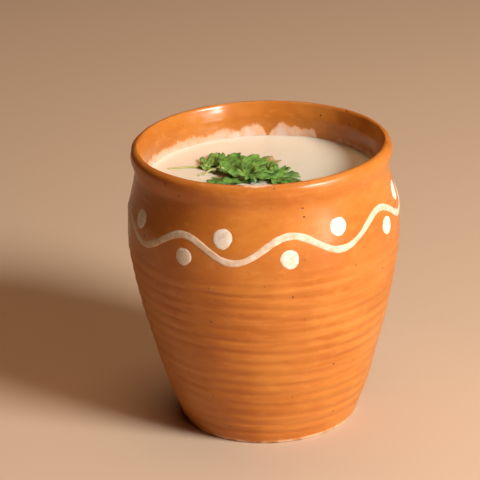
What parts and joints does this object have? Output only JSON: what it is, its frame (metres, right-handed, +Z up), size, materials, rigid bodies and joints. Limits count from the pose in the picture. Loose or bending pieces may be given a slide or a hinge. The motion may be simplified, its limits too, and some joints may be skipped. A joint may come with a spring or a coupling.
{
  "type": "clay cup of buttermilk",
  "caption": "Round-shouldered unglazed clay cup with throwing ridges and a wavy slip band, filled with buttermilk and topped with coriander leaves.",
  "frame": {"origin": "centre of the foot, on the surface that the cup stands on", "axes": "+Z up along the cup's axis; the side shown in front faces -Y, with +X to its right"},
  "size_m": [0.0854, 0.0855, 0.09],
  "materials": {
    "clay": "unglazed terracotta with a soft sheen",
    "slip": "matt cream slip",
    "buttermilk": "opaque cream liquid with a soft gloss",
    "coriander": "fresh green leaf, satin"
  },
  "bodies": {
    "root": {"cup": "clay", "buttermilk": "buttermilk", "slip_wave": "slip", "slip_dot_upper_1": "slip", "slip_dot_upper_2": "slip", "slip_dot_upper_3": "slip", "slip_dot_upper_4": "slip", "slip_dot_upper_5": "slip", "slip_dot_upper_6": "slip", "slip_dot_upper_7": "slip", "slip_dot_upper_8": "slip", "slip_dot_lower_1": "slip", "slip_dot_lower_2": "slip", "slip_dot_lower_3": "slip", "slip_dot_lower_4": "slip", "slip_dot_lower_5": "slip", "slip_dot_lower_6": "slip", "slip_dot_lower_7": "slip", "slip_dot_lower_8": "slip", "leaf_back_left": "coriander", "leaf_back_right": "coriander", "leaf_front_left": "coriander", "leaf_left": "coriander", "leaf_right": "coriander", "leaf_top": "coriander"}
  },
  "joints": []
}
